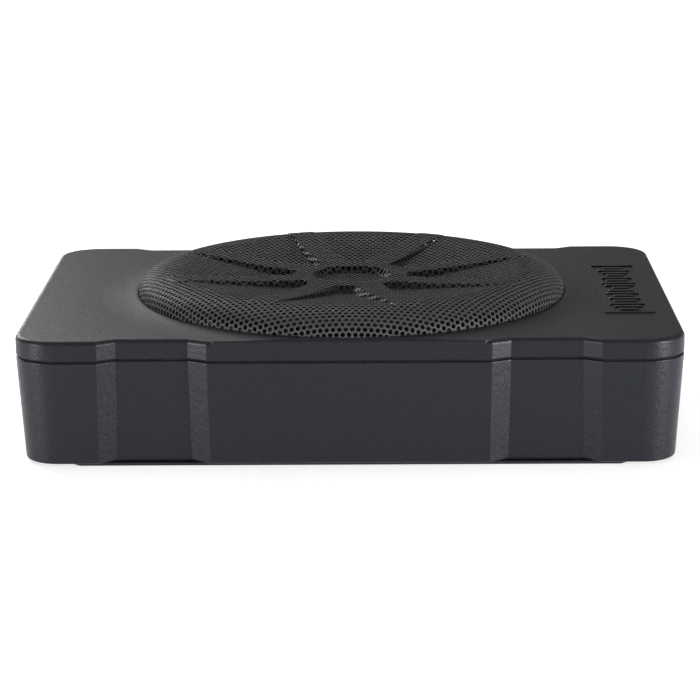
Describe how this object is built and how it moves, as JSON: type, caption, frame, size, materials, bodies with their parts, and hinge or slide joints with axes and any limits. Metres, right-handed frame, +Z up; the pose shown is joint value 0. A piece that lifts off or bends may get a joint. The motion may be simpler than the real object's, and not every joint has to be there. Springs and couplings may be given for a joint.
{
  "type": "powered subwoofer",
  "caption": "Flat powered car subwoofer: drafted tub and skirted lid, domed perforated steel grille with a raised star, driver, amplifier and recessed control panel.",
  "frame": {"origin": "centre of the face it stands on", "axes": "+X along the long side towards the badge frame, -Y is the front long side, +Z up through the grille"},
  "size_m": [0.351, 0.242, 0.0827],
  "materials": {
    "housing_plastic": "fine-grained satin black moulding",
    "cover_plastic": "fine-grained satin black moulding, slightly lighter",
    "grille_steel": "black powder-coated perforated steel",
    "gasket_rubber": "matte black foam rubber",
    "base_rubber": "matte black",
    "screw_steel": "black oxide",
    "basket_steel": "black e-coat",
    "cone_paper": "matte coated paper pulp",
    "surround_rubber": "matte butyl rubber",
    "spider_cloth": "resin-treated cloth",
    "copper": "enamelled copper",
    "former_aluminium": "dark anodised foil",
    "zinc_steel": "zinc-plated steel",
    "ferrite": "ground grey ferrite",
    "circuit_board": "green solder mask",
    "chip_black": "black epoxy",
    "capacitor_sleeve": "dark shrink sleeve",
    "heat_aluminium": "mill finish",
    "ferrite_core": "grey ferrite",
    "partition_plastic": "black moulding",
    "wire_red": "pvc insulation",
    "panel_metal": "satin black",
    "knob_plastic": "black with pale pointer",
    "shaft_metal": "turned steel",
    "socket_plastic": "black nylon",
    "pin_brass": "plated brass",
    "jack_metal": "nickel plate",
    "fuse_plastic": "tinted amber fuse body",
    "lamp_lens": "red lens"
  },
  "bodies": {
    "enclosure": {"amp_partition": "partition_plastic", "amplifier_board": "circuit_board", "amplifier_chips": "chip_black", "base_plate": "base_rubber", "base_screws": "screw_steel", "board_screws": "screw_steel", "control_panel": "panel_metal", "control_pots": "shaft_metal", "cover_gasket": "gasket_rubber", "cover_screws": "screw_steel", "driver_basket": "basket_steel", "driver_gasket": "gasket_rubber", "driver_screws": "screw_steel", "filter_capacitors": "capacitor_sleeve", "front_plate": "zinc_steel", "fuse_holder": "socket_plastic", "grille": "grille_steel", "grille_clips": "zinc_steel", "grille_gasket": "gasket_rubber", "heat_spreader": "heat_aluminium", "input_switch": "socket_plastic", "lower_housing": "housing_plastic", "magnet": "ferrite", "output_inductors": "ferrite_core", "panel_gasket": "gasket_rubber", "panel_screws": "screw_steel", "phase_switch": "socket_plastic", "phono_contacts": "pin_brass", "phono_jacks": "jack_metal", "pot_nuts": "shaft_metal", "power_lamp": "lamp_lens", "power_socket": "socket_plastic", "power_transistors": "chip_black", "remote_socket": "socket_plastic", "signal_socket": "socket_plastic", "socket_pins": "pin_brass", "speaker_wires": "wire_red", "spider": "spider_cloth", "surround": "surround_rubber", "t_yoke": "zinc_steel", "terminal_strip": "chip_black", "tinsel_leads": "copper", "top_cover": "cover_plastic", "transformer_core": "ferrite_core", "transformer_winding": "copper", "wire_grommet": "gasket_rubber"},
    "diaphragm": {"cone": "cone_paper", "dust_cap": "cone_paper", "voice_coil_former": "former_aluminium", "voice_coil_winding": "copper"},
    "gain_control": {"gain_knob": "knob_plastic", "gain_shaft": "shaft_metal"},
    "crossover_control": {"crossover_knob": "knob_plastic", "crossover_shaft": "shaft_metal"},
    "bass_control": {"bass_knob": "knob_plastic", "bass_shaft": "shaft_metal"},
    "phase_lever": {"phase_slider": "knob_plastic"},
    "input_lever": {"input_slider": "knob_plastic"},
    "fuse": {"blade_fuse": "fuse_plastic"}
  },
  "joints": [
    {"name": "cone_travel", "type": "slide", "parent": "enclosure", "child": "diaphragm", "axis": [0, 0, 1], "range_m": [-0.005, 0.005], "stiffness_N_per_m": 4800, "deforming": ["surround", "spider", "tinsel_leads"]},
    {"name": "gain_turn", "type": "hinge", "parent": "enclosure", "child": "gain_control", "pos_m": [-0.165, 0.034, 0.036], "axis": [1, 0, 0], "range_deg": [-150, 150]},
    {"name": "crossover_turn", "type": "hinge", "parent": "enclosure", "child": "crossover_control", "pos_m": [-0.165, 0.052, 0.036], "axis": [1, 0, 0], "range_deg": [-150, 150]},
    {"name": "bass_turn", "type": "hinge", "parent": "enclosure", "child": "bass_control", "pos_m": [-0.165, 0.07, 0.036], "axis": [1, 0, 0], "range_deg": [-150, 150]},
    {"name": "phase_slide", "type": "slide", "parent": "enclosure", "child": "phase_lever", "axis": [0, 1, 0], "range_m": [0, 0.004]},
    {"name": "input_slide", "type": "slide", "parent": "enclosure", "child": "input_lever", "axis": [0, 1, 0], "range_m": [0, 0.004]},
    {"name": "fuse_pull", "type": "slide", "parent": "enclosure", "child": "fuse", "axis": [-1, 0, 0], "range_m": [0, 0.02]}
  ]
}
